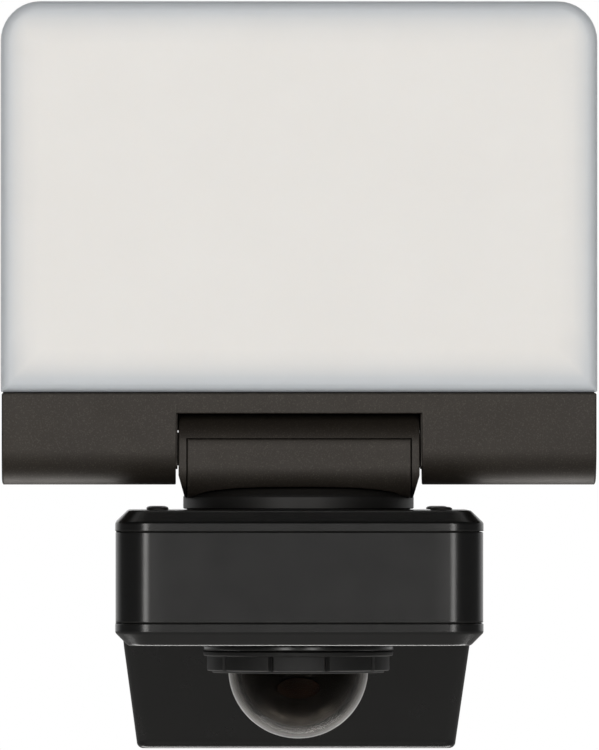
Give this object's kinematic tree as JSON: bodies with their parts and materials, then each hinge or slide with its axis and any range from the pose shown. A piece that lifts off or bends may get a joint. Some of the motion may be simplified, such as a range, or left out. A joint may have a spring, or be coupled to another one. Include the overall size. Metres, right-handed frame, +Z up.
{
  "type": "wall floodlight with sensor dome",
  "caption": "Wall floodlight with an opal light panel that tilts and swivels above a rounded housing, and a smoked sensor dome hanging below it in front of a tapered wall box.",
  "frame": {"origin": "centre of the wall plate's back face, which lies against the wall", "axes": "+Y into the wall, -Y out into the room in front of the panel, +X to the right of someone who faces the light, +Z up"},
  "size_m": [0.18, 0.153, 0.2271],
  "materials": {
    "anthracite_paint": "fine metallic anthracite powder coat",
    "opal_plastic": "satin opal, lets light through",
    "black_plastic": "satin black moulding",
    "box_plastic": "satin black moulding",
    "smoked_lens": "smoked, translucent, gloss",
    "detector_black": "dark satin",
    "sensor_window": "brown gloss",
    "rubber": "matt",
    "steel": "zinc plated",
    "dark_screw": "blackened",
    "circuit_board": "solder resist",
    "led_board": "white solder resist",
    "component": "matt",
    "terminal_plastic": "matt",
    "lead_sheath": "matt sheath"
  },
  "bodies": {
    "base": {"wall_plate": "box_plastic", "wall_box": "box_plastic", "wall_gasket": "rubber", "cable_grommet": "rubber", "terminal_block": "terminal_plastic", "box_screw_left": "dark_screw", "box_screw_right": "dark_screw", "link_sleeve": "steel", "link_nut": "steel", "top_cover": "black_plastic", "housing_band": "black_plastic", "bottom_cover": "black_plastic", "upper_seal": "rubber", "lower_seal": "rubber", "cover_screw_front_left": "dark_screw", "cover_screw_front_right": "dark_screw", "cover_screw_rear_left": "dark_screw", "cover_screw_rear_right": "dark_screw", "power_board": "circuit_board", "transformer": "component", "smoothing_capacitor": "component", "relay": "component", "lead_lower": "lead_sheath", "sensor_socket": "black_plastic"},
    "swivel": {"hinge_knuckle": "anthracite_paint", "knuckle_cover": "anthracite_paint", "hinge_bush_left": "black_plastic", "hinge_bush_right": "black_plastic", "swivel_spigot": "steel", "swivel_washer": "steel", "swivel_nut": "steel", "turntable_seal": "rubber", "lead_middle": "lead_sheath"},
    "head": {"head_frame": "anthracite_paint", "diffuser": "opal_plastic", "diffuser_seal": "rubber", "led_board": "led_board", "diffusing_sheet": "opal_plastic", "diffuser_screw_1": "steel", "diffuser_screw_2": "steel", "diffuser_screw_3": "steel", "diffuser_screw_4": "steel", "hinge_shaft_left": "steel", "hinge_shaft_right": "steel", "spring_washer_left": "steel", "spring_washer_right": "steel", "shaft_nut_left": "steel", "shaft_nut_right": "steel", "lead_upper": "lead_sheath"},
    "sensor": {"grip_ring": "black_plastic", "dome_lens": "smoked_lens", "detector_housing": "detector_black", "sensor_lens": "sensor_window", "sensor_board": "circuit_board", "sensor_retainer": "black_plastic"}
  },
  "joints": [
    {"name": "head_swivel", "type": "hinge", "parent": "base", "child": "swivel", "pos_m": [0, -0.112, 0.0396], "axis": [0, 0, 1], "range_deg": [-90, 90]},
    {"name": "head_tilt", "type": "hinge", "parent": "swivel", "child": "head", "pos_m": [0, -0.124, 0.058], "axis": [1, 0, 0], "range_deg": [-45, 90]},
    {"name": "sensor_turn", "type": "hinge", "parent": "base", "child": "sensor", "pos_m": [0, -0.104, -0.003], "axis": [0, 0, 1], "range_deg": [-90, 90]}
  ]
}
